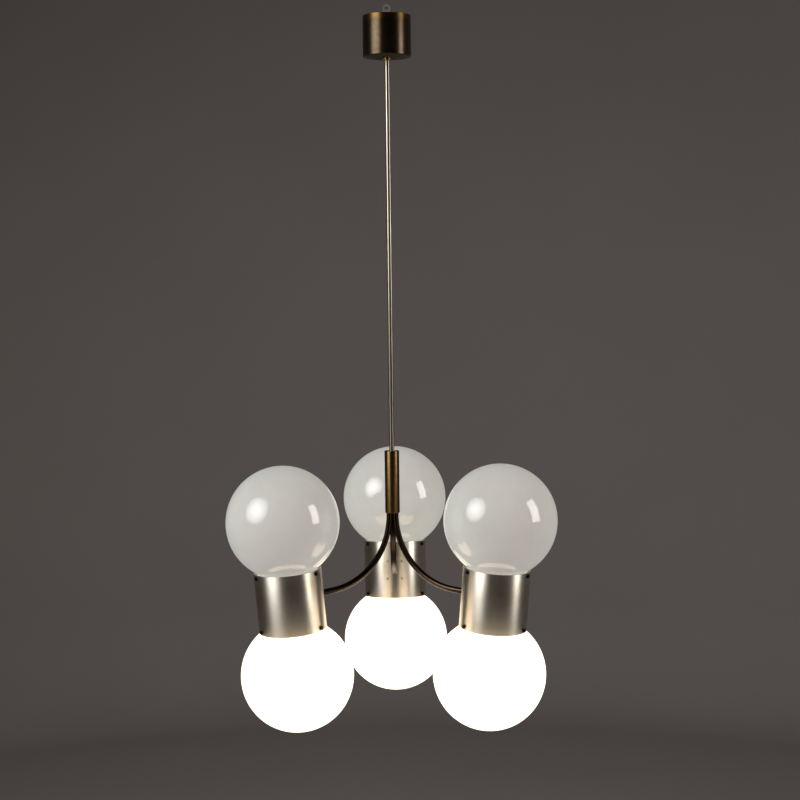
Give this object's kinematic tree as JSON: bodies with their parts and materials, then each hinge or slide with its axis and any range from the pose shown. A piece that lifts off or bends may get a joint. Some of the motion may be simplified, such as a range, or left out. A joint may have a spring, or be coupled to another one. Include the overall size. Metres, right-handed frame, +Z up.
{
  "type": "multi arm chandelier",
  "caption": "Pendant lamp: a slim stem and a dark brass hub carry bent arms, each with an aluminium cylinder between two opal glass globes.",
  "frame": {"origin": "centre of the hole in the hanging eye, from which the lamp hangs", "axes": "+Z up along the stem; +Y along the axis of the eye's hole, towards the back unit"},
  "size_m": [0.4366, 0.3982, 0.9667],
  "materials": {
    "patinated_brass": "dark patinated brass, satin",
    "arm_brass": "dark patinated brass, satin",
    "collar_brass": "aged brass",
    "nickel_stem": "polished warm nickel plate",
    "eye_steel": "nickelled steel",
    "brushed_aluminium": "circumferentially brushed, warm",
    "opal_glass": "opal, glossy outside",
    "opal_glass_lit": "opal, glossy outside, lit from inside",
    "blackened_steel": "blackened",
    "zinc_steel": "zinc plated",
    "rivet_aluminium": "domed",
    "dark_bakelite": "moulded phenolic",
    "bulb_glass": "inside-frosted",
    "bulb_glass_lit": "inside-frosted, burning",
    "cap_metal": "threaded sheet metal",
    "plain_brass": "turned",
    "wire_sheath": "white flexible sheath",
    "block_plastic": "natural nylon"
  },
  "bodies": {
    "pendant": {"hanging_eye": "eye_steel", "eye_lock_nut": "eye_steel", "terminal_block": "block_plastic", "terminal_clamps": "plain_brass", "terminal_screws": "zinc_steel", "main_lead": "wire_sheath", "stem_tube": "nickel_stem", "hub_sleeve": "patinated_brass", "hub_plug": "plain_brass", "hub_splice": "block_plastic", "back_tube": "brushed_aluminium", "back_bracket": "zinc_steel", "back_rivets": "rivet_aluminium", "back_arm_nut": "zinc_steel", "back_nipple": "plain_brass", "back_globe_screws": "blackened_steel", "back_upper_holder": "dark_bakelite", "back_lower_holder": "dark_bakelite", "back_upper_bulb": "bulb_glass", "back_lower_bulb": "bulb_glass_lit", "back_bulb_caps": "cap_metal", "back_upper_globe": "opal_glass", "back_lower_globe": "opal_glass_lit", "back_arm": "arm_brass", "back_arm_lead": "wire_sheath", "left_tube": "brushed_aluminium", "left_bracket": "zinc_steel", "left_rivets": "rivet_aluminium", "left_arm_nut": "zinc_steel", "left_nipple": "plain_brass", "left_globe_screws": "blackened_steel", "left_upper_holder": "dark_bakelite", "left_lower_holder": "dark_bakelite", "left_upper_bulb": "bulb_glass", "left_lower_bulb": "bulb_glass_lit", "left_bulb_caps": "cap_metal", "left_upper_globe": "opal_glass", "left_lower_globe": "opal_glass_lit", "left_arm": "arm_brass", "left_arm_lead": "wire_sheath", "right_tube": "brushed_aluminium", "right_bracket": "zinc_steel", "right_rivets": "rivet_aluminium", "right_arm_nut": "zinc_steel", "right_nipple": "plain_brass", "right_globe_screws": "blackened_steel", "right_upper_holder": "dark_bakelite", "right_lower_holder": "dark_bakelite", "right_upper_bulb": "bulb_glass", "right_lower_bulb": "bulb_glass_lit", "right_bulb_caps": "cap_metal", "right_upper_globe": "opal_glass", "right_lower_globe": "opal_glass_lit", "right_arm": "arm_brass", "right_arm_lead": "wire_sheath"},
    "canopy_set": {"canopy": "patinated_brass", "canopy_collar": "collar_brass", "collar_screw": "plain_brass"}
  },
  "joints": [
    {"name": "canopy_slide", "type": "slide", "parent": "pendant", "child": "canopy_set", "axis": [0, 0, 1], "range_m": [-0.5255, 0.0255]}
  ]
}
